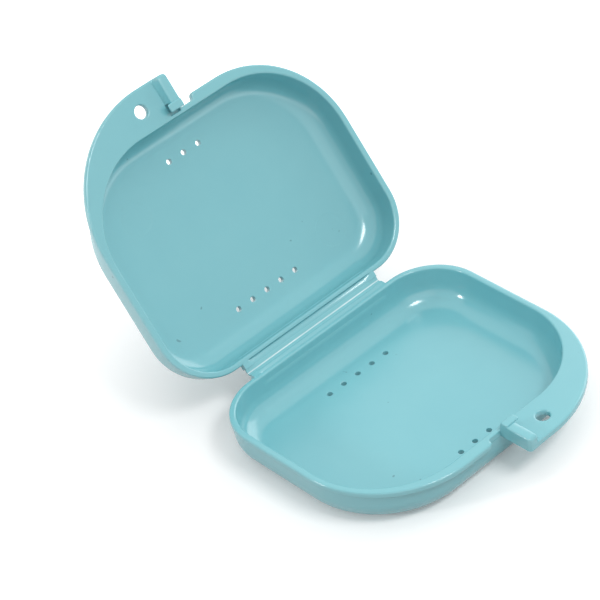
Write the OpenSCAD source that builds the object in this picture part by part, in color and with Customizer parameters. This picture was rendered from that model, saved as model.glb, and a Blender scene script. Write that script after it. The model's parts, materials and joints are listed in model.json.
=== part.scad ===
// Hinged case for a dental retainer, moulded in one shot: two equal halves joined by a living hinge.
// The half frame has its origin on the hinge line, X along the hinge, the half towards -Y and its mouth
// facing +Z. The ear of a half lies on its +X side. Units are millimetres.

/* [Tray] */
// Half width of the cavity at the rim
cavity_half_w = 38.7; // [36:0.1:42]
// Distance from the hinge line to the rear edge of the cavity
cavity_rear = 3.8; // [3.6:0.1:5]
// Length of the cavity from rear to front
cavity_len = 60.1; // [56:0.1:68]
// Corner radius of the cavity at the hinge end
cavity_r_rear = 13.7; // [11:0.1:15]
// Corner radius of the cavity at the latch end
cavity_r_front = 24; // [21:0.5:27]
// Depth of the cavity below the mating plane
cavity_depth = 10.1; // [9:0.1:13]
// Thickness of walls and floor
wall = 1.5; // [1:0.1:1.8]
// Draft angle of the walls
draft = 3; // [1:0.5:5]
// Radius between wall and floor inside
floor_fillet = 5.4; // [4:0.1:6.5]

/* [Rim] */
// Thickness of the rim, the land and the ear
flange_t = 1.8; // [1.5:0.1:2.2]
// How far the rim stands out past the wall at the sides
flange_side = 0.3; // [0.1:0.05:0.5]
// How far the land stands out past the wall at the front
flange_front = 1.7; // [1.2:0.1:2.2]
// Corner radius of the land at the latch end
land_r_front = 27.6; // [25:0.1:30]
// Corner radius of the land beside the notch, at most what the root leaves of the land
land_corner_r = 1.2; // [0.5:0.1:2]
// Radius at the root of the notch
notch_root_r = 0.5; // [0.3:0.1:0.6]
// Radius of the rounded top edges of the rim and the ear
edge_r = 0.4; // [0.2:0.05:0.6]
// Each rim face stands this far behind the mating plane, so the closed halves don't bind
rim_gap = 0.1; // [0.05:0.05:0.2]

/* [Ear and latch] */
// How far the ear stands out past the land
ear_reach = 8.2; // [7:0.1:10]
// Corner radius of the ear
ear_r = 32.1; // [29:0.1:34]
// Distance from the middle of the case to the free end of the ear
ear_end = 0.15; // [0.1:0.05:0.8]
// Corner radius of the ear's free end
ear_tip_r = 1; // [0.5:0.1:1.5]
// Diameter of the lanyard hole
lanyard_d = 3.6; // [2.5:0.1:4.5]
// Distance from the middle of the case to the lanyard hole
lanyard_x = 10.5; // [9:0.1:16]
// Distance from the edge of the land to the lanyard hole
lanyard_out = 2.7; // [2.4:0.1:4]
// Width of the upright rib at its top
rib_w = 2.85; // [2:0.05:3.5]
// Height of the rib's top above the underside of the barb
rib_over = 0.1; // [0.05:0.05:0.4]
// How far the foot of the rib spreads towards the lanyard hole
rib_foot = 0.85; // [0.3:0.05:1.2]
// Radius of the rib's front end, seen from the side
rib_nose_r = 1; // [0.4:0.1:1.5]
// How far the barb reaches past the side of the rib
barb_side = 1.45; // [1.2:0.05:2]
// Length of the barb, away from the hinge
barb_len = 2.2; // [1.6:0.1:3]
// Thickness of the barb
barb_t = 0.5; // [0.4:0.05:0.9]
// How far the barb reaches past the side of the other half's notch
barb_catch = 0.5; // [0.3:0.05:0.8]
// Width of the opening under the overhanging part of the barb
window_w = 0.8; // [0.6:0.1:1.2]
// Width of the slot behind the rib, which lets the ear's end flex
slot_w = 0.75; // [0.5:0.05:1]
// Width of the web that closes the slot beside the notch
slot_web = 0.5; // [0.4:0.05:1]
// Clearance between closed latch faces
latch_gap = 0.2; // [0.15:0.05:0.4]

/* [Hinge] */
// Length of the hinge
hinge_len = 46.6; // [40:0.2:50]
// Half the length of the film, flat
film_half = 0.9; // [0.7:0.05:1.1]
// Thickness of the film
film_t = 0.4; // [0.3:0.05:0.5]
// Depth of the recess in the leaf below the mating plane
recess_depth = 0.45; // [0.3:0.05:0.6]
// How far the recess runs into the rim
recess_into_rim = 0.35; // [0.2:0.05:0.6]
// Width of the full-height cheek at each end of the leaf
cheek_w = 2; // [1:0.1:3]
// Angle between the open halves, 0 when closed
open_angle = 126; // [60:1:150]

/* [Vents] */
// Diameter of a vent hole
vent_d = 1.5; // [1:0.1:2]
// Distance between vent holes
vent_pitch = 5; // [4:0.1:6]
// Number of vent holes near the hinge
vents_rear = 5; // [3:1:7]
// Number of vent holes near the latch
vents_front = 3; // [1:1:5]
// Distance from the rear edge of the cavity to the first row
vent_rear_in = 9.4; // [8:0.1:14]
// Distance from the front edge of the cavity to the second row
vent_front_in = 9.1; // [8:0.1:14]
// Shift of both rows towards the ear
vent_shift = 1; // [0:0.1:2]

/* [Hidden] */
$fn = 96;
eps = 0.01;
plastic = [0.53, 0.78, 0.82];
film_white = [0.75, 0.9, 0.92];

// Places along the half, counted from the hinge line
cavity_front = cavity_rear + cavity_len;
wall_rear = cavity_rear - wall;
wall_front = cavity_front + wall;
land_front = wall_front + flange_front;
ear_front = land_front + ear_reach;
shell_half_w = cavity_half_w + wall + flange_side;
mid = (cavity_rear + cavity_front) / 2;
outer_depth = cavity_depth + wall;

// Wall section: where its straight inner side meets the floor fillet, counted from the rim's inner edge
fillet_z = floor_fillet - cavity_depth;
fillet_in = (-flange_t - fillet_z) * tan(draft) + floor_fillet / cos(draft);

// Latch, counted from the hinge line: the barb just clears the other half's wall
barb_rear = wall_front + latch_gap;
barb_front = barb_rear + barb_len;
barb_z = flange_t + latch_gap;
rib_h = barb_z + rib_over;
rib_side = ear_end + rib_w;
barb_end = rib_side + barb_side;
notch_end = barb_catch - barb_end;
notch_r = min(land_corner_r, flange_front - notch_root_r);

// Hinge: the film bends evenly from one leaf's edge to the other's, on the bisector of the two halves
bend = 180 - open_angle;
film_mid_z = -recess_depth - film_t / 2;
film_r = (film_half * cos(bend / 2) - film_mid_z * sin(bend / 2)) / sin(bend / 2);
film_up = film_half * sin(bend / 2) + film_mid_z * cos(bend / 2) + film_r * cos(bend / 2);

// Places the half frame on the base and on the lid
module on_base() {
    translate([0, mid, outer_depth]) children();
}
module on_lid() {
    translate([0, mid, outer_depth]) rotate([bend, 0, 0]) rotate([0, 0, 180]) children();
}

// Outline from y = -front to y = -rear, rounded with one radius at each end
module outline(half_w, rear, front, r_rear, r_front) {
    for (side = [-1, 1]) {
        translate([side * (half_w - r_rear), -rear - r_rear]) circle(r_rear);
        translate([side * (half_w - r_front), r_front - front]) circle(r_front);
    }
    polygon([[half_w, -rear - r_rear], [half_w - r_rear, -rear], [r_rear - half_w, -rear],
             [-half_w, -rear - r_rear], [-half_w, r_front - front], [r_front - half_w, -front],
             [half_w - r_front, -front], [half_w, r_front - front]]);
}
module cavity_outline(inset = 0) {
    outline(cavity_half_w - inset, cavity_rear + inset, cavity_front - inset,
            cavity_r_rear - inset, cavity_r_front - inset);
}
module ear_outline() {
    outline(shell_half_w, wall_rear, ear_front, cavity_r_rear + wall, ear_r);
}
// The rim follows the ear's edge on one side and the land's edge on the other
module rim_outline() {
    intersection() {
        ear_outline();
        translate([0, -land_front]) square([shell_half_w, land_front]);
    }
    intersection() {
        outline(shell_half_w, wall_rear, land_front, cavity_r_rear + wall, land_r_front);
        translate([-shell_half_w, -land_front]) square([shell_half_w, land_front]);
    }
}

// Section of wall, floor fillet and a toe of floor, with x = 0 on the cavity's edge and positive x outwards
module wall_section() {
    fillet_out = floor_fillet + wall;
    wall_foot_in = [floor_fillet * cos(draft) - fillet_in, fillet_z - floor_fillet * sin(draft)];
    wall_foot_out = [fillet_out * cos(draft) - fillet_in, fillet_z - fillet_out * sin(draft)];
    polygon([[0, -flange_t], [wall / cos(draft), -flange_t], wall_foot_out, wall_foot_in]);
    difference() {
        fillet_quarter(fillet_out);
        fillet_quarter(floor_fillet);
    }
    translate([-fillet_in - wall, -outer_depth]) square(wall);
}
// Sector between the wall's normal and the floor's normal, round the fillet's centre
module fillet_quarter(r) {
    translate([-fillet_in, fillet_z]) intersection() {
        circle(r);
        polygon([[0, 0], 2 * r * [cos(draft), -sin(draft)], 2 * r * [1, -1], 2 * r * [0, -1]]);
    }
}
// Sweeps a section round one corner: the arc's centre is x, y and it starts at the angle turn
module round_corner(x, y, r, turn) {
    translate([x, y, 0]) rotate([0, 0, turn]) rotate_extrude(angle = 90) translate([r, 0]) children();
}
// Sweeps a section from point p along the angle turn, with the outside on its right
module along_side(p, turn, len) {
    translate([p[0], p[1], 0]) rotate([0, 0, turn]) rotate([90, 0, 0]) translate([0, 0, -len])
        linear_extrude(len) children();
}
// Sweeps a section all round the cavity's edge
module round_cavity() {
    x_r = cavity_half_w - cavity_r_rear;
    x_f = cavity_half_w - cavity_r_front;
    y_r = -cavity_rear - cavity_r_rear;
    y_f = -cavity_front + cavity_r_front;
    round_corner(x_r, y_r, cavity_r_rear, 0) children();
    round_corner(-x_r, y_r, cavity_r_rear, 90) children();
    round_corner(-x_f, y_f, cavity_r_front, 180) children();
    round_corner(x_f, y_f, cavity_r_front, 270) children();
    along_side([cavity_half_w, y_f], 0, y_r - y_f) children();
    along_side([x_r, -cavity_rear], 90, 2 * x_r) children();
    along_side([-cavity_half_w, y_r], 180, y_r - y_f) children();
    along_side([-x_f, -cavity_front], 270, 2 * x_f) children();
}
module tray() {
    difference() {
        union() {
            round_cavity() wall_section();
            translate([0, 0, -outer_depth]) linear_extrude(wall) cavity_outline(fillet_in);
        }
        vent_row(vents_rear, cavity_rear + vent_rear_in);
        vent_row(vents_front, cavity_front - vent_front_in);
    }
}
module vent_row(count, out) {
    for (i = [0:count - 1])
        translate([vent_shift + (i - (count - 1) / 2) * vent_pitch, -out, -outer_depth - eps])
            cylinder(d = vent_d, h = wall + 2 * eps);
}

// Slab between the rim's underside and its top face
module flange() {
    translate([0, 0, -flange_t]) linear_extrude(flange_t - rim_gap) children();
}
// What a rounded top edge takes away, with x = 0 on the edge and the solid at negative x
module edge_section() {
    difference() {
        translate([-edge_r, -rim_gap - edge_r]) square(edge_r + eps);
        translate([-edge_r, -rim_gap - edge_r]) circle(edge_r);
    }
}
// Rounding of the outer edge, beside the hinge and along the land on one side and the ear on the other
module outer_edge() {
    r_rear = cavity_r_rear + wall;
    x_r = shell_half_w - r_rear;
    y_r = -wall_rear - r_rear;
    round_corner(x_r, y_r, r_rear, 0) edge_section();
    round_corner(-x_r, y_r, r_rear, 90) edge_section();
    y_land = land_r_front - land_front;
    x_land = shell_half_w - land_r_front;
    along_side([-shell_half_w, y_r], 180, y_r - y_land) edge_section();
    round_corner(-x_land, y_land, land_r_front, 180) edge_section();
    along_side([-x_land, -land_front], 270, x_land + notch_end - notch_r) edge_section();
    round_corner(notch_end - notch_r, notch_r - land_front, notch_r, 270) edge_section();
    y_ear = ear_r - ear_front;
    x_ear = shell_half_w - ear_r;
    foot = rib_side + rib_foot;
    along_side([foot, -ear_front], 270, x_ear - foot) edge_section();
    round_corner(x_ear, y_ear, ear_r, 270) edge_section();
    along_side([shell_half_w, y_ear], 0, y_r - y_ear) edge_section();
}
// Slot behind the rib, and the opening that the mould needs to form the overhanging part of the barb
module barb_window() {
    translate([ear_end + slot_web, -barb_rear]) square([rib_w + window_w - slot_web, slot_w]);
    translate([rib_side, -barb_front - latch_gap]) square([window_w, barb_len + latch_gap + slot_w]);
}
// What lies between a corner at p and the arc that rounds it, the arc's centre being at turn + 45 degrees
module corner_cut(p, r, turn) {
    translate(p) rotate(turn) difference() {
        translate([-eps, -eps]) square(r + eps);
        translate([r, r]) circle(r);
    }
}
// Gap beside the ear's end, which the other half's rib passes through, with the land's corner rounded
module latch_notch() {
    difference() {
        translate([notch_end, -land_front - eps]) square([ear_end - notch_end, flange_front + eps]);
        corner_cut([notch_end, -wall_front], notch_root_r, 270);
    }
    corner_cut([notch_end, -land_front], notch_r, 90);
}
module ear_tip_cut() {
    corner_cut([ear_end, -ear_front], ear_tip_r, 0);
}
// Space above the sunk middle of the leaves
module hinge_recess() {
    half = hinge_len / 2 - cheek_w;
    translate([-half, -wall_rear - recess_into_rim, -recess_depth])
        cube([2 * half, wall_rear + recess_into_rim, recess_depth]);
}
module rim() {
    difference() {
        flange() difference() {
            rim_outline();
            cavity_outline();
            latch_notch();
            barb_window();
        }
        hinge_recess();
        outer_edge();
        round_cavity() mirror([1, 0]) edge_section();
    }
}
module ear() {
    difference() {
        flange() difference() {
            intersection() {
                ear_outline();
                translate([ear_end, -ear_front]) square([shell_half_w, ear_reach]);
            }
            barb_window();
            ear_tip_cut();
        }
        translate([lanyard_x, -land_front - lanyard_out, -flange_t - eps])
            cylinder(d = lanyard_d, h = flange_t + 2 * eps);
        outer_edge();
    }
}
// Extrudes a side view, drawn with x towards the hinge and y up, along the hinge from the ear's end
module from_side(len) {
    translate([ear_end, 0, 0]) rotate([90, 0, 90]) linear_extrude(len) children();
}
module latch_hook() {
    nose_y = rib_nose_r - ear_front;
    difference() {
        from_side(rib_w) {
            translate([nose_y, -rim_gap]) square([-barb_rear - nose_y, rib_h + rim_gap]);
            translate([-ear_front, -rim_gap]) square([rib_nose_r, rib_h - rib_nose_r + rim_gap]);
            translate([nose_y, rib_h - rib_nose_r]) circle(rib_nose_r);
        }
        translate([0, 0, -rim_gap - eps]) linear_extrude(rib_h + rim_gap + 2 * eps) ear_tip_cut();
    }
    translate([0, -barb_front - latch_gap, 0]) rotate([90, 0, 0])
        linear_extrude(-barb_front - latch_gap - nose_y)
            polygon([[rib_side, -rim_gap], [rib_side + rib_foot, -rim_gap], [rib_side, rib_h]]);
    from_side(rib_w + barb_side)
        polygon([[-barb_rear, barb_z], [-barb_rear, barb_z + barb_t / 2],
                 [-barb_rear - barb_t / 2, barb_z + barb_t], [-barb_front, barb_z + barb_t],
                 [-barb_front, barb_z]]);
}
module hinge_leaf() {
    difference() {
        flange() translate([-hinge_len / 2, -wall_rear]) square([hinge_len, wall_rear - film_half]);
        hinge_recess();
    }
}
module film() {
    past = (film_r + film_t) / cos(bend / 2);
    translate([-hinge_len / 2, 0, 0]) rotate([90, 0, 90]) linear_extrude(hinge_len)
        rotate(bend / 2) translate([0, film_up]) intersection() {
            difference() {
                circle(film_r + film_t / 2);
                circle(film_r - film_t / 2);
            }
            polygon([[0, 0], past * [-sin(bend / 2), -cos(bend / 2)],
                     past * [sin(bend / 2), -cos(bend / 2)]]);
        }
}

module base_tray() { color(plastic) on_base() tray(); }
module base_rim() { color(plastic) on_base() rim(); }
module base_ear() { color(plastic) on_base() ear(); }
module base_latch_hook() { color(plastic) on_base() latch_hook(); }
module base_hinge_leaf() { color(plastic) on_base() hinge_leaf(); }
module hinge_film() { color(film_white) on_base() film(); }
module lid_hinge_leaf() { color(plastic) on_lid() hinge_leaf(); }
module lid_tray() { color(plastic) on_lid() tray(); }
module lid_rim() { color(plastic) on_lid() rim(); }
module lid_ear() { color(plastic) on_lid() ear(); }
module lid_latch_hook() { color(plastic) on_lid() latch_hook(); }

base_tray();
base_rim();
base_ear();
base_latch_hook();
base_hinge_leaf();
hinge_film();
lid_hinge_leaf();
lid_tray();
lid_rim();
lid_ear();
lid_latch_hook();
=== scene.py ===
import json
from math import asin, cos, degrees, exp, pi, radians, sin, sqrt, tan

import bmesh
import bpy
from mathutils import Matrix, Vector


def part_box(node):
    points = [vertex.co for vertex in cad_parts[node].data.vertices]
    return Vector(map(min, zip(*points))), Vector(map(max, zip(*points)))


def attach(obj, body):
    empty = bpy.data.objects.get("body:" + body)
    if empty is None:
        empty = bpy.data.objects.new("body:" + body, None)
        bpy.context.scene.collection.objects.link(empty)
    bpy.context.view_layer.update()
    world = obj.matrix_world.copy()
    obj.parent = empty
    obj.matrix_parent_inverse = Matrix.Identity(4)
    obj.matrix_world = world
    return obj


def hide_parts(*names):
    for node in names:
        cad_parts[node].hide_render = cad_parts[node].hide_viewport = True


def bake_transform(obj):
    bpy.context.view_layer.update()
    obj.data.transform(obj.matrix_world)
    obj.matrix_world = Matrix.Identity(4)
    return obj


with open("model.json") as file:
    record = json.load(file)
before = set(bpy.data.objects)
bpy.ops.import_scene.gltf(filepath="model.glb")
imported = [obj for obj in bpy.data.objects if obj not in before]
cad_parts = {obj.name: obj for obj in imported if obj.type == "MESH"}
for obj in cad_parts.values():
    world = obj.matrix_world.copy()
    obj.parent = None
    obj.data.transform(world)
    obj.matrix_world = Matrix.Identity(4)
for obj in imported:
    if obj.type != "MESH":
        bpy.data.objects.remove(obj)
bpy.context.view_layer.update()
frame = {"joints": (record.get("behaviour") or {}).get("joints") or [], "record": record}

# Hinged case for a dental retainer, moulded in one shot from semi-gloss polypropylene.
# Every piece of a half is built in the half frame, in millimetres: the origin is on the hinge line, X runs
# along the hinge, the half lies towards -Y with its mouth facing +Z, and its ear is on the +X side.
MM = 0.001

# Places read from the frame
HINGE = frame["joints"][0]
HINGE_POINT = Vector(HINGE["pos_m"])
BEND = radians(HINGE["range_deg"][1])
MOUNTS = {mount["name"]: mount for mount in frame["record"]["mounts"]}


def half_box(node):
    """Lowest and highest corner of one of the base's nodes in the half frame."""
    low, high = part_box(node)
    return (low - HINGE_POINT) / MM, (high - HINGE_POINT) / MM


RIM_LOW, RIM_HIGH = half_box("base_rim")
EAR_LOW = half_box("base_ear")[0]
HOOK_LOW, HOOK_HIGH = half_box("base_latch_hook")
LEAF_LOW, LEAF_HIGH = half_box("base_hinge_leaf")
TRAY_LOW = half_box("base_tray")[0]
LANYARD = (Vector(MOUNTS["base_lanyard_hole"]["pos_m"]) - HINGE_POINT) / MM
LANYARD_R = MOUNTS["base_lanyard_hole"]["dims"]["r_mm"]

# Tray, with its cavity as it is at the rim
WALL = 1.5
DRAFT = radians(3)
FLOOR_FILLET = 5.4
CAVITY_HALF_W = 38.7
CAVITY_REAR = WALL - RIM_HIGH.y
CAVITY_FRONT = 63.9
CAVITY_R_REAR = 13.7
CAVITY_R_FRONT = 24
OUTER_FLOOR = TRAY_LOW.z
INNER_FLOOR = OUTER_FLOOR + WALL
UNDER_RIM = RIM_LOW.z

# Centre of the floor fillet: its height, and how far it lies inside the cavity's outline
FILLET_Z = INNER_FLOOR + FLOOR_FILLET
FILLET_IN = (UNDER_RIM - FILLET_Z) * tan(DRAFT) + FLOOR_FILLET / cos(DRAFT)

# Vents: number in each row and its distance from the hinge line
VENT_R = 0.75
VENT_EDGE = 0.12
VENT_PITCH = 5
VENT_SHIFT = 1
VENT_ROWS = ((5, CAVITY_REAR + 9.4), (3, CAVITY_FRONT - 9.1))

# Round marks of the ejector pins on each half's inner floor
PIN_MARKS = {"base": (), "lid": ((22.6, -47.3), (-24.4, -16.5))}
PIN_R = 4.6
PIN_EDGE = 0.25
PIN_DEPTH = 0.045

# Ledge on the rear inner wall: its height is also the length of its tapered ends
LEDGE_X = 20.5
LEDGE_Z = -2.55
LEDGE_SLOPE = 0.35
LEDGE_HEIGHT = 1.8
LEDGE_OUT = 0.27
LEDGE_ROOT = 0.05

# Rim, land and ear
RIM_TOP = RIM_HIGH.z
LAND_R_FRONT = 27.6
LAND_CORNER_R = 1.2
NOTCH_ROOT_R = 0.5
EAR_R = 32.1
EAR_TIP_R = 1
TOP_EDGE = 0.45
LOW_EDGE = 0.3

# Share of those roundings on the short edges round the notch, the slot and the recess
SMALL = 0.35

# Angle at which the ear's outer curve crosses the line of the land
EAR_SEAM = degrees(asin((RIM_LOW.y - EAR_LOW.y - EAR_R) / EAR_R))

# Latch: rib with its barb, and the slot and window round the barb
RIB_W = 2.85
RIB_TOP = 2.1
RIB_FOOT = 0.85
RIB_NOSE_R = 1
RIB_SIDE_R = 0.5
RIB_EDGE = 0.4
RIB_EDGE_AT_BARB = 0.15
BARB_LEN = 2.2
BARB_LOW = 2
BARB_CATCH = 0.5
BARB_CORNER_R = 0.45
BARB_TOP_EDGE = 0.3
BARB_LOW_EDGE = 0.1
SLOT_W = 0.75
SLOT_WEB = 0.5
WINDOW_W = 0.8
WEB_T = 0.8
WEB_ROOT = 0.05
LATCH_GAP = 0.2
RIB_X = EAR_LOW.x + RIB_W
FOOT_X = RIB_X + RIB_FOOT
BARB_FRONT = HOOK_HIGH.y - BARB_LEN
SLOT_X = EAR_LOW.x + SLOT_WEB
SLOT_FRONT = HOOK_HIGH.y
SLOT_REAR = SLOT_FRONT + SLOT_W
WINDOW_X = RIB_X + WINDOW_W
WINDOW_FRONT = BARB_FRONT - LATCH_GAP

# Hinge: sunk strip with its groove, and the film with its crease
RECESS_TOP = -0.45
RECESS_REAR = -2.65
RECESS_X = LEAF_HIGH.x - 2
RECESS_TAPER = 1.4
RECESS_SQUARE_END = 0.2
GROOVE_W = 0.5
GROOVE_Z = -1.05
FILM_T = 0.4
FILM_THIN = 0.3
FILM_BEND_R = 0.5
CREASE_W = 0.16
OUTER_CREASE = 0.3

# Fineness of the meshes: numbers of steps, lengths, and turns at which edges count as bent or as sharp
CORNER_STEPS = 24
SMALL_STEPS = 6
NOSE_STEPS = 8
SIDE_STEPS = 8
FILLET_STEPS = 16
EDGE_STEPS = 4
HOLE_STEPS = 28
FILM_STEPS = 10
FLAT_MARGIN = 0.15
FLOOR_MARGIN = 0.6
EDGE_LENGTH = 3
MERGE_DISTANCE = 1e-5
BENT_SINE = 0.01
SHARP = radians(35)


def arc(x, y, r, start, end, steps):
    """Points round the centre x, y, from one angle in degrees to another, both included."""
    angles = [radians(start + (end - start) * i / steps) for i in range(steps + 1)]
    return [Vector((x + r * cos(a), y + r * sin(a))) for a in angles]


def outline(half_w, rear, front, r_rear, r_front):
    """Closed outline with one corner radius at each end, anticlockwise, with its straight sides divided."""
    x_r, x_f = half_w - r_rear, half_w - r_front
    corners = (arc(x_r, -rear - r_rear, r_rear, 0, 90, CORNER_STEPS),
               arc(-x_r, -rear - r_rear, r_rear, 90, 180, CORNER_STEPS),
               arc(-x_f, r_front - front, r_front, 180, 270, CORNER_STEPS),
               arc(x_f, r_front - front, r_front, 270, 360, CORNER_STEPS))
    points = []
    for corner, following in zip(corners, corners[1:] + corners[:1]):
        points += corner
        points += [corner[-1].lerp(following[0], i / SIDE_STEPS) for i in range(1, SIDE_STEPS)]
    return points


def cavity_outline(inset=0):
    """Outline of the cavity, drawn in by inset."""
    return outline(CAVITY_HALF_W - inset, CAVITY_REAR + inset, CAVITY_FRONT - inset,
                   CAVITY_R_REAR - inset, CAVITY_R_FRONT - inset)


def circle(x, y, r):
    """Closed circle, clockwise, as the edge of a hole."""
    return arc(x, y, r, 360, 0, HOLE_STEPS)[:-1]


def edge_loop(*stretches):
    """Closed loop from stretches (share, points): each point starts an edge with that stretch's share."""
    corners = [(Vector(p), share) for share, stretch in stretches for p in stretch]
    points, shares = [], []
    for (point, share), (following, _) in zip(corners, corners[1:] + corners[:1]):
        parts = max(1, round((following - point).length / EDGE_LENGTH))
        points += [point.lerp(following, i / parts) for i in range(parts)]
        shares += [share] * parts
    return points, shares


def moved_in(points, shares, distance):
    """The closed outline with each edge moved to its left by its share of distance."""
    count = len(points)
    edges = [(points[(i + 1) % count] - points[i]).normalized() for i in range(count)]
    normals = [Vector((-edge.y, edge.x)) for edge in edges]
    moved = []
    for i, point in enumerate(points):
        n_a, n_b = normals[i - 1], normals[i]
        d_a, d_b = shares[i - 1] * distance, shares[i] * distance
        turn = n_a.x * n_b.y - n_a.y * n_b.x
        if abs(turn) > BENT_SINE:
            shift = Vector((d_a * n_b.y - d_b * n_a.y, d_b * n_a.x - d_a * n_b.x)) / turn
        else:
            shift = (n_a + n_b).normalized() * (d_a + d_b) / 2
        moved.append(point + shift)
    return moved


def ring(bm, points, z):
    """Vertices of an outline at the height z."""
    return [bm.verts.new((p.x, p.y, z)) for p in points]


def bridge(bm, rings):
    """Faces between each ring and the next; all have as many vertices."""
    for ring_a, ring_b in zip(rings, rings[1:]):
        count = len(ring_a)
        for i in range(count):
            j = (i + 1) % count
            bm.faces.new((ring_a[i], ring_a[j], ring_b[j], ring_b[i]))


def loft(bm, rings):
    """Closed solid through the rings, with a flat face at each end."""
    bridge(bm, rings)
    bm.faces.new(rings[0])
    bm.faces.new(rings[-1])


def fill(bm, rings):
    """Flat face inside the first ring and outside the others."""
    edges = []
    for verts in rings:
        for i, vert in enumerate(verts):
            pair = (vert, verts[(i + 1) % len(verts)])
            edges.append(bm.edges.get(pair) or bm.edges.new(pair))
    bmesh.ops.triangle_fill(bm, edges=edges, use_beauty=True)


def rounded_levels(low, high, low_edge, high_edge):
    """Steps (inset, height) up the side of a slab with rounded edges, with a flat margin at each end."""
    angles = [pi / 2 * i / EDGE_STEPS for i in range(EDGE_STEPS + 1)]
    levels = [(low_edge + FLAT_MARGIN, low)]
    levels += [(low_edge * (1 - sin(a)), low + low_edge * (1 - cos(a))) for a in angles]
    levels += [(high_edge * (1 - cos(a)), high - high_edge * (1 - sin(a))) for a in angles]
    levels += [(high_edge + FLAT_MARGIN, high)]
    return levels


def plate(bm, loops, low, high, high_edge):
    """Slab with rounded edges. A loop is (points, shares, low edge): the outer one first, anticlockwise, then
    holes, clockwise. A share of 0 leaves an edge square, where the slab runs on into its neighbour."""
    lows, highs = [], []
    for points, shares, low_edge in loops:
        levels = rounded_levels(low, high, low_edge, high_edge)
        rings = [ring(bm, moved_in(points, shares, inset), z) for inset, z in levels]
        bridge(bm, rings)
        lows.append(rings[0])
        highs.append(rings[-1])
    fill(bm, lows)
    fill(bm, highs)


def vent(bm, x, y):
    """Wall of one vent with softened edges: returns its rings in the outer and the inner floor."""
    levels = rounded_levels(OUTER_FLOOR, INNER_FLOOR, VENT_EDGE, VENT_EDGE)
    rings = [ring(bm, circle(x, y, VENT_R + inset), z) for inset, z in levels]
    bridge(bm, rings)
    return rings[0], rings[-1]


def pin_mark(bm, x, y):
    """Shallow round mark of an ejector pin: returns its ring in the inner floor."""
    sunk = INNER_FLOOR - PIN_DEPTH
    levels = ((PIN_R + FLAT_MARGIN, INNER_FLOOR), (PIN_R, INNER_FLOOR), (PIN_R - PIN_EDGE, sunk),
              (PIN_R - PIN_EDGE - FLAT_MARGIN, sunk))
    rings = [ring(bm, circle(x, y, r), z) for r, z in levels]
    bridge(bm, rings)
    fill(bm, rings[-1:])
    return rings[0]


def ledge(bm):
    """Faint ledge along the rear inner wall, about as long as the recess of the hinge."""
    def wall_y(z):
        return -CAVITY_REAR - (UNDER_RIM - z) * tan(DRAFT)
    top, crest, foot = LEDGE_Z + LEDGE_SLOPE, LEDGE_Z, LEDGE_Z - LEDGE_HEIGHT
    buried = wall_y(crest) + WALL / 2
    end = LEDGE_X + LEDGE_HEIGHT
    rings = []
    for x, out in ((-end, 0), (-LEDGE_X, LEDGE_OUT), (LEDGE_X, LEDGE_OUT), (end, 0)):
        section = ((buried, top), (wall_y(top) + LEDGE_ROOT, top), (wall_y(crest) + LEDGE_ROOT - out, crest),
                   (wall_y(foot) + LEDGE_ROOT, foot), (buried, foot))
        rings.append([bm.verts.new((x, y, z)) for y, z in section])
    loft(bm, rings)


def tray(marks):
    """Dish of one half: floor with vents and marks, fillet and wall, on the inside and on the outside."""
    bm = bmesh.new()
    angles = [DRAFT + (pi / 2 - DRAFT) * i / FILLET_STEPS for i in range(FILLET_STEPS + 1)]
    r_in, r_out = FLOOR_FILLET, FLOOR_FILLET + WALL
    inside = [(FILLET_IN - r_in * cos(a), FILLET_Z - r_in * sin(a)) for a in angles]
    outside = [(FILLET_IN - r_out * cos(a), FILLET_Z - r_out * sin(a)) for a in angles]
    flat = FILLET_IN + FLOOR_MARGIN
    section = [(flat, INNER_FLOOR)] + inside[::-1] + [(0, UNDER_RIM)]
    section += [(-WALL / cos(DRAFT), UNDER_RIM)] + outside + [(flat, OUTER_FLOOR)]
    rings = [ring(bm, cavity_outline(inset), z) for inset, z in section]
    bridge(bm, rings)
    inner_floor, outer_floor = [rings[0]], [rings[-1]]
    for count, out in VENT_ROWS:
        for i in range(count):
            low, high = vent(bm, VENT_SHIFT + (i - (count - 1) / 2) * VENT_PITCH, -out)
            outer_floor.append(low)
            inner_floor.append(high)
    inner_floor += [pin_mark(bm, x, y) for x, y in marks]
    fill(bm, inner_floor)
    fill(bm, outer_floor)
    ledge(bm)
    return bm


def ear_arc(start, end):
    """Part of the ear's outer curve."""
    return arc(RIM_HIGH.x - EAR_R, EAR_LOW.y + EAR_R, EAR_R, start, end, CORNER_STEPS)


def latch_web(bm):
    """Thin web that closes the slot and the window from below."""
    near, far, left = RIB_X - WEB_ROOT, WINDOW_X + WEB_ROOT, SLOT_X - WEB_ROOT
    front, middle, back = WINDOW_FRONT - WEB_ROOT, SLOT_FRONT - WEB_ROOT, SLOT_REAR + WEB_ROOT
    corners = [(near, front), (far, front), (far, back), (left, back), (left, middle), (near, middle)]
    plate(bm, [(*edge_loop((0, corners)), 0)], UNDER_RIM, UNDER_RIM + WEB_T, 0)


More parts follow.
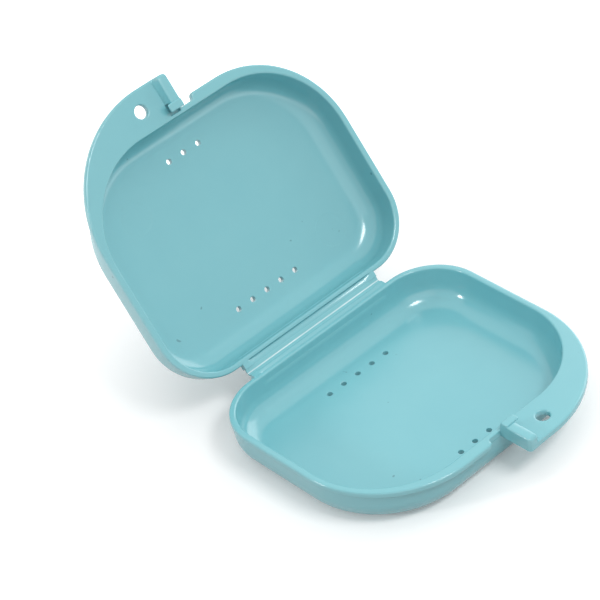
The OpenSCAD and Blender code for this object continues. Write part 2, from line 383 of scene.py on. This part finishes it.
def rim():
    """Rim round the mouth, with the land, the notch beside the ear, and the slot and window at the barb."""
    bm = bmesh.new()
    corner_r = CAVITY_R_REAR + WALL
    rear, land, half_w = RIM_HIGH.y, RIM_LOW.y, RIM_HIGH.x
    hinge_x = LEAF_HIGH.x
    recess_end = RECESS_X - RECESS_SQUARE_END
    notch_x = BARB_CATCH - HOOK_HIGH.x
    notch_y = -CAVITY_FRONT - WALL
    outer = edge_loop(
        (1, arc(half_w - corner_r, rear - corner_r, corner_r, 0, 90, CORNER_STEPS)),
        (0, [(hinge_x, rear), (hinge_x, RECESS_REAR), (RECESS_X, RECESS_REAR)]),
        (SMALL, [(recess_end, RECESS_REAR), (-recess_end, RECESS_REAR)]),
        (0, [(-RECESS_X, RECESS_REAR), (-hinge_x, RECESS_REAR)]),
        (1, [(-hinge_x, rear)]),
        (1, arc(corner_r - half_w, rear - corner_r, corner_r, 90, 180, CORNER_STEPS)),
        (1, arc(LAND_R_FRONT - half_w, land + LAND_R_FRONT, LAND_R_FRONT, 180, 270, CORNER_STEPS)),
        (1, arc(notch_x - LAND_CORNER_R, land + LAND_CORNER_R, LAND_CORNER_R, 270, 360, SMALL_STEPS)),
        (SMALL, arc(notch_x + NOTCH_ROOT_R, notch_y - NOTCH_ROOT_R, NOTCH_ROOT_R, 180, 90, SMALL_STEPS)),
        (0, [(EAR_LOW.x, notch_y), (EAR_LOW.x, land), (RIB_X, land), (RIB_X, SLOT_FRONT)]),
        (SMALL, [(SLOT_X, SLOT_FRONT), (SLOT_X, SLOT_REAR), (WINDOW_X, SLOT_REAR)]),
        (0, [(WINDOW_X, land)]),
        (1, ear_arc(EAR_SEAM, 0)),
    )
    mouth = cavity_outline()[::-1]
    plate(bm, [(*outer, LOW_EDGE), (mouth, [1] * len(mouth), 0)], UNDER_RIM, RIM_TOP, TOP_EDGE)
    latch_web(bm)
    return bm


def ear():
    """Crescent finger tab with the lanyard hole."""
    bm = bmesh.new()
    land, front, end = RIM_LOW.y, EAR_LOW.y, EAR_LOW.x
    curve = ear_arc(-90, EAR_SEAM)
    outer = edge_loop(
        (0, [(end, land)]),
        (0, arc(end + EAR_TIP_R, front + EAR_TIP_R, EAR_TIP_R, 180, 270, SMALL_STEPS)),
        (1, [(FOOT_X, front)]),
        (1, curve[:-1]),
        (0, curve[-1:]),
        (SMALL, [(WINDOW_X, land)]),
        (0, [(WINDOW_X, WINDOW_FRONT), (RIB_X, WINDOW_FRONT), (RIB_X, land)]),
    )
    hole = circle(LANYARD.x, LANYARD.y, LANYARD_R)
    plate(bm, [(*outer, LOW_EDGE), (hole, [1] * len(hole), LOW_EDGE)], UNDER_RIM, RIM_TOP, TOP_EDGE)
    return bm


def sagitta(r, ahead):
    """How far an edge rounded with the radius r lies back, at a distance ahead from the end."""
    return r - sqrt(max(r * r - max(r - ahead, 0) ** 2, 0))


def rib_section(y, edge, foot):
    """Points (x, z) of the rib's section at y: near side, rounded top, and far side spread at its foot."""
    ahead = y - HOOK_LOW.y
    top = RIB_TOP - sagitta(RIB_NOSE_R, ahead)
    near, far = EAR_LOW.x + sagitta(EAR_TIP_R, ahead), RIB_X - sagitta(RIB_SIDE_R, ahead)
    points = [Vector((near, RIM_TOP))]
    points += arc(near + edge, top - edge, edge, 180, 90, EDGE_STEPS)
    points += arc(far - edge, top - edge, edge, 90, 0, EDGE_STEPS)
    return points + [Vector((far + foot, RIM_TOP))]


def latch_hook():
    """Upright rib along the ear's end, with a rounded nose, and the barb that overhangs its side."""
    bm = bmesh.new()
    front, rear = HOOK_LOW.y, HOOK_HIGH.y
    nose = [RIB_NOSE_R * (1 - cos(pi / 2 * i / NOSE_STEPS)) for i in range(NOSE_STEPS + 1)]
    stations = [(front + d, RIB_EDGE, RIB_FOOT * d / RIB_NOSE_R) for d in nose]
    stations += [(WINDOW_FRONT, RIB_EDGE, RIB_FOOT), (WINDOW_FRONT, RIB_EDGE, 0)]
    stations += [(BARB_FRONT, RIB_EDGE, 0), (BARB_FRONT, RIB_EDGE_AT_BARB, 0), (rear, RIB_EDGE_AT_BARB, 0)]
    rings = []
    for y, edge, foot in stations:
        rings.append([bm.verts.new((p.x, y, p.y)) for p in rib_section(y, edge, foot)])
    loft(bm, rings)
    near, far, r = EAR_LOW.x, HOOK_HIGH.x, BARB_CORNER_R
    corners = arc(near + r, BARB_FRONT + r, r, 180, 270, SMALL_STEPS)
    corners += arc(far - r, BARB_FRONT + r, r, 270, 360, SMALL_STEPS)
    corners += arc(far - r, rear - r, r, 0, 90, SMALL_STEPS)
    corners += arc(near + r, rear - r, r, 90, 180, SMALL_STEPS)
    plate(bm, [(*edge_loop((1, corners)), BARB_LOW_EDGE)], BARB_LOW, HOOK_HIGH.z, BARB_TOP_EDGE)
    return bm


def hinge_leaf():
    """Stiff strip between rim and film, sunk between two cheeks of full height, with a groove at the rim."""
    bm = bmesh.new()
    end, low = LEAF_HIGH.x, LEAF_LOW.z
    sunk_x = RECESS_X - RECESS_TAPER
    rings = []
    for y, sunk in ((LEAF_HIGH.y, RECESS_TOP), (RECESS_REAR + GROOVE_W, RECESS_TOP), (RECESS_REAR, GROOVE_Z)):
        profile = [(-end, low), (end, low), (end, RIM_TOP), (RECESS_X, RIM_TOP), (sunk_x, sunk),
                   (-sunk_x, sunk), (-RECESS_X, RIM_TOP), (-end, RIM_TOP)]
        rings.append([bm.verts.new((x, y, z)) for x, z in profile])
    loft(bm, rings)
    return bm


def film_path():
    """Points (y, z) of the film's inner side with their normals: flat from each leaf to a narrow bend."""
    bend_y = -RECESS_TOP * tan(BEND / 2) - FILM_BEND_R * tan(BEND / 2)
    centre = Vector((bend_y, RECESS_TOP + FILM_BEND_R))
    flat = bend_y - LEAF_HIGH.y
    path = []
    for i in range(FILM_STEPS):
        path.append((Vector((LEAF_HIGH.y + flat * i / FILM_STEPS, RECESS_TOP)), Vector((0, 1))))
    for i in range(FILM_STEPS + 1):
        a = BEND * i / FILM_STEPS
        normal = Vector((-sin(a), cos(a)))
        path.append((centre - FILM_BEND_R * normal, normal))
    last, normal = path[-1]
    along = Vector((cos(BEND), sin(BEND)))
    path += [(last + along * flat * i / FILM_STEPS, normal) for i in range(1, FILM_STEPS + 1)]
    return path


def film():
    """Thin film that bends along its middle, where it is thinnest and marked as creased."""
    bm = bmesh.new()
    crease = bm.verts.layers.float.new("crease")
    path = film_path()
    middle = path[len(path) // 2][0]
    end = LEAF_HIGH.x
    rings = []
    for point, normal in path:
        dip = exp(-((point - middle).length / CREASE_W) ** 2)
        inner, outer = point - normal * FILM_T * FILM_THIN * dip, point - normal * FILM_T
        verts = []
        for x, side, share in ((-end, inner, 1), (end, inner, 1), (end, outer, OUTER_CREASE),
                               (-end, outer, OUTER_CREASE)):
            vert = bm.verts.new((x, side.x, side.y))
            vert[crease] = dip * share
            verts.append(vert)
        rings.append(verts)
    loft(bm, rings)
    return bm


def linear(red, green, blue):
    """Linear colour from an sRGB colour of 0 to 255."""
    def channel(value):
        value /= 255
        return value / 12.92 if value <= 0.04045 else ((value + 0.055) / 1.055) ** 2.4
    return (channel(red), channel(green), channel(blue), 1)


# Plastic: colours, gloss, and noise with its scale in features to a metre and the range of it that counts
TURQUOISE = linear(123, 190, 198)
DEEP = linear(118, 186, 195)
SPECK = linear(70, 110, 120)
WHITENED = linear(232, 244, 246)
PLASTIC_IOR = 1.49
SPECULAR_LEVEL = 0.95
CLOUD_SCALE = 40
CLOUD_RANGE = (0.3, 0.7)
ROUGHNESS = (0.15, 0.22)
GRAIN_SCALE = 900
GRAIN_STRENGTH = 0.12
GRAIN_DEPTH = 0.0001
HAIR_TURN = (0.4, 0.9, 0.7)
HAIR_STRETCH = (1, 24, 24)
HAIR_SCALE = 90
HAIR_RANGE = (0.7, 0.76)
HAIR_ROUGHNESS = 0.04
SPECK_SCALE = 420
SPECK_RANGE = (0.79, 0.82)
SPECK_SHARE = 0.5

# Whitened film
PATCH_SCALE = 60
PATCH_RANGE = (0.35, 0.65)
PATCH_SHARE = (0.4, 1)
FILM_ROUGHNESS = (0.4, 0.6)
FILM_GRAIN_SCALE = 1500
FILM_GRAIN_STRENGTH = 0.15


def add(tree, kind, inputs=None, **settings):
    """Shader node with its settings, and its inputs as values or as sockets to link."""
    node = tree.nodes.new(kind)
    for key, value in settings.items():
        setattr(node, key, value)
    for key, value in (inputs or {}).items():
        if isinstance(value, bpy.types.NodeSocket):
            tree.links.new(value, node.inputs[key])
        else:
            node.inputs[key].default_value = value
    return node


def calc(tree, operation, *values, clamp=False):
    """Result of a Math node."""
    node = add(tree, "ShaderNodeMath", dict(enumerate(values)), operation=operation, use_clamp=clamp)
    return node.outputs[0]


def mix_colour(tree, share, a, b):
    """Colour between a and b."""
    node = add(tree, "ShaderNodeMix", {0: share, 6: a, 7: b}, data_type="RGBA")
    return node.outputs[2]


def mapped(tree, value, low, high, to_low, to_high):
    """Value taken from one range to another, held within it."""
    node = add(tree, "ShaderNodeMapRange", {"Value": value, "From Min": low, "From Max": high,
                                            "To Min": to_low, "To Max": to_high})
    return node.outputs["Result"]


def noise(tree, coords, scale, detail=3, rough=0.5):
    """Noise with scale features to a metre."""
    node = add(tree, "ShaderNodeTexNoise", {"Vector": coords, "Scale": scale, "Detail": detail,
                                            "Roughness": rough})
    return node.outputs["Fac"]


def node_material(name):
    """New material and its node tree."""
    material = bpy.data.materials.new(name)
    material.use_nodes = True
    return material, material.node_tree


def plastic_start(name):
    """New material with the plastic's reflection, its node tree, its shader and the object's coordinates."""
    material, tree = node_material(name)
    shader = tree.nodes["Principled BSDF"]
    shader.inputs["IOR"].default_value = PLASTIC_IOR
    shader.inputs["Specular IOR Level"].default_value = SPECULAR_LEVEL
    coords = add(tree, "ShaderNodeTexCoord").outputs["Object"]
    return material, tree, shader, coords


def set_surface(tree, shader, colour, rough, grain, strength):
    """Links colour, roughness and fine grain to the shader."""
    bump = add(tree, "ShaderNodeBump", {"Height": grain, "Strength": strength, "Distance": GRAIN_DEPTH})
    sockets = {"Base Color": colour, "Roughness": rough, "Normal": bump.outputs["Normal"]}
    for key, value in sockets.items():
        tree.links.new(value, shader.inputs[key])


def plastic_material(name):
    """Semi-gloss polypropylene: faint clouds of colour, fine grain, hairline scratches and a few specks."""
    material, tree, shader, coords = plastic_start(name)
    clouds = noise(tree, coords, CLOUD_SCALE, detail=4, rough=0.6)
    grain = noise(tree, coords, GRAIN_SCALE, detail=4, rough=0.6)
    along = add(tree, "ShaderNodeMapping", {"Vector": coords, "Rotation": HAIR_TURN, "Scale": HAIR_STRETCH})
    hairs = mapped(tree, noise(tree, along.outputs["Vector"], HAIR_SCALE, detail=2), *HAIR_RANGE, 0, 1)
    specks = mapped(tree, noise(tree, coords, SPECK_SCALE, detail=1), *SPECK_RANGE, 0, SPECK_SHARE)
    tint = mix_colour(tree, mapped(tree, clouds, *CLOUD_RANGE, 0, 1), TURQUOISE, DEEP)
    colour = mix_colour(tree, specks, tint, SPECK)
    rough = mapped(tree, clouds, *CLOUD_RANGE, *ROUGHNESS)
    rough = calc(tree, "MULTIPLY_ADD", hairs, HAIR_ROUGHNESS, rough)
    set_surface(tree, shader, colour, rough, grain, GRAIN_STRENGTH)
    return material


def film_material(name):
    """The same plastic, stress-whitened in patches where the film is creased."""
    material, tree, shader, coords = plastic_start(name)
    crease = add(tree, "ShaderNodeAttribute", attribute_name="crease").outputs["Fac"]
    patches = mapped(tree, noise(tree, coords, PATCH_SCALE, detail=4, rough=0.6), *PATCH_RANGE, *PATCH_SHARE)
    share = calc(tree, "MULTIPLY", crease, patches)
    colour = mix_colour(tree, share, TURQUOISE, WHITENED)
    rough = mapped(tree, share, 0, 1, *FILM_ROUGHNESS)
    grain = noise(tree, coords, FILM_GRAIN_SCALE)
    set_surface(tree, shader, colour, rough, grain, FILM_GRAIN_STRENGTH)
    return material


def in_scene(name, data):
    """New object with its data, linked into the scene."""
    obj = bpy.data.objects.new(name, data)
    bpy.context.scene.collection.objects.link(obj)
    return obj


def place(body):
    """Matrix from the half frame to the part's frame."""
    matrix = Matrix.Translation(HINGE_POINT)
    if body == "lid":
        matrix = matrix @ Matrix.Rotation(BEND, 4, "X") @ Matrix.Rotation(pi, 4, "Z")
    return matrix @ Matrix.Scale(MM, 4)


def piece(name, bm, body, material):
    """Object from a mesh in the half frame, set in its place with smooth shading and sharp corners."""
    bmesh.ops.remove_doubles(bm, verts=bm.verts, dist=MERGE_DISTANCE)
    bmesh.ops.dissolve_degenerate(bm, edges=bm.edges, dist=MERGE_DISTANCE)
    bmesh.ops.recalc_face_normals(bm, faces=bm.faces)
    bm.transform(place(body))
    mesh = bpy.data.meshes.new(name)
    bm.to_mesh(mesh)
    bm.free()
    mesh.shade_smooth()
    mesh.set_sharp_from_angle(angle=SHARP)
    mesh.materials.append(material)
    return in_scene(name, mesh)


plastic = plastic_material("polypropylene_turquoise")
whitened = film_material("polypropylene_whitened")

for body in ("base", "lid"):
    meshes = {"tray": tray(PIN_MARKS[body]), "rim": rim(), "ear": ear(), "latch_hook": latch_hook(),
              "hinge_leaf": hinge_leaf()}
    for part, bm in meshes.items():
        skin = piece(f"{body}_{part}_skin", bm, body, plastic)
        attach(skin, body)
        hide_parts(f"{body}_{part}")

film_skin = piece("hinge_film_skin", film(), "base", whitened)
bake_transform(film_skin)
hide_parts("hinge_film")

# Floor and background, in metres: white to the eye, with the object's shadow, and a painted shade round the
# object where the floor's glow is kept low
FLOOR_SIZE = 6
FLOOR_GREY = (0.5, 0.5, 0.5, 1)
FLOOR_WHITE = (0.9, 0.9, 0.9, 1)
# Painted shade round the object: the glow seen on the floor is this low next to it, and rises to white
# between the two distances from the origin on the next line
PAINTED_SHADE_GLOW = 0.12
PAINTED_SHADE_REACH = (0.06, 0.2)
WHITE = (1, 1, 1, 1)
HORIZON_LIGHT = 0
OVERHEAD_LIGHT = 1.02

# Lamps: name, direction from the lit point, width and height, and watts
LIT_POINT = Vector((0, 0.02, 0.02))
LAMP_DISTANCE = 0.7
LAMPS = (
    ("key", (0.1, -0.57, 0.8), (0.25, 0.15), 1.5),
    ("left", (-0.86, 0.34, 0.36), (0.08, 0.1), 1.1),
    ("right", (0.9, 0.1, 0.4), (0.8, 0.5), 2.2),
    ("front", (-0.3, -0.86, 0.4), (0.8, 0.5), 0.6),
)

# Camera at the photograph's angle: place, direction of view, roll and lens on the default sensor
CAMERA_PLACE = Vector((-0.30848, -0.37559, 0.42885))
CAMERA_LOOK = Vector((0.4677, 0.6270, -0.6230))
CAMERA_ROLL = radians(-10.5)
CAMERA_LENS = 154.49


def seen_directly(tree):
    """1 for rays from the camera and for reflected or transmitted ones, 0 for those that light surfaces."""
    path = add(tree, "ShaderNodeLightPath").outputs
    seen = calc(tree, "ADD", path["Is Camera Ray"], path["Is Glossy Ray"], clamp=True)
    return calc(tree, "ADD", seen, path["Is Transmission Ray"], clamp=True)


def floor():
    """Pale floor that the object stands on, with its real shadow and a painted shade round the object: the
    glow seen on it is low near the object and rises to white away from it, where the shadow fades out.
    """
    bm = bmesh.new()
    bmesh.ops.create_grid(bm, x_segments=1, y_segments=1, size=FLOOR_SIZE / 2)
    mesh = bpy.data.meshes.new("floor")
    bm.to_mesh(mesh)
    bm.free()
    material, tree = node_material("floor_white")
    tree.nodes.remove(tree.nodes["Principled BSDF"])
    seen = seen_directly(tree)
    colour = mix_colour(tree, seen, FLOOR_GREY, FLOOR_WHITE)
    diffuse = add(tree, "ShaderNodeBsdfDiffuse", {"Color": colour}).outputs[0]
    position = add(tree, "ShaderNodeNewGeometry").outputs["Position"]
    distance = add(tree, "ShaderNodeVectorMath", {0: position}, operation="LENGTH").outputs["Value"]
    # Painted shade: the glow seen on the floor is low near the object, darkening the floor round it, and
    # rises to white further out
    level = calc(tree, "MULTIPLY", seen, mapped(tree, distance, *PAINTED_SHADE_REACH, PAINTED_SHADE_GLOW, 1))
    glow = add(tree, "ShaderNodeEmission", {"Color": WHITE, "Strength": level}).outputs[0]
    both = add(tree, "ShaderNodeAddShader", {0: diffuse, 1: glow}).outputs[0]
    tree.links.new(both, tree.nodes["Material Output"].inputs["Surface"])
    mesh.materials.append(material)
    obj = in_scene("floor", mesh)


def world_light():
    """White surroundings, brighter overhead than at the horizon; their level is 1 where they are seen."""
    world = bpy.data.worlds.new("surroundings")
    bpy.context.scene.world = world
    world.use_nodes = True
    tree = world.node_tree
    back = tree.nodes["Background"]
    back.inputs["Color"].default_value = WHITE
    direction = add(tree, "ShaderNodeTexCoord").outputs["Generated"]
    height = add(tree, "ShaderNodeSeparateXYZ", {"Vector": direction}).outputs["Z"]
    given = mapped(tree, height, 0, 1, HORIZON_LIGHT, OVERHEAD_LIGHT)
    level = mapped(tree, seen_directly(tree), 0, 1, given, 1)
    tree.links.new(level, back.inputs["Strength"])


def area_lamp(name, toward, size, watts):
    """Soft lamp in the direction toward, seen from the lit point, which it faces."""
    data = bpy.data.lights.new(name, "AREA")
    data.shape = "RECTANGLE"
    data.size, data.size_y = size
    data.energy = watts
    direction = Vector(toward).normalized()
    lamp = in_scene(name, data)
    lamp.location = LIT_POINT + direction * LAMP_DISTANCE
    lamp.rotation_euler = (-direction).to_track_quat("-Z", "Y").to_euler()


def camera():
    """Camera that looks at the object as the photograph does."""
    data = bpy.data.cameras.new("camera")
    data.lens = CAMERA_LENS
    obj = in_scene("camera", data)
    turned = CAMERA_LOOK.to_track_quat("-Z", "Y").to_matrix().to_4x4()
    obj.matrix_world = Matrix.Translation(CAMERA_PLACE) @ turned @ Matrix.Rotation(CAMERA_ROLL, 4, "Z")
    bpy.context.scene.camera = obj


floor()
world_light()
for lamp in LAMPS:
    area_lamp(*lamp)
camera()
bpy.context.scene.view_settings.view_transform = "Standard"
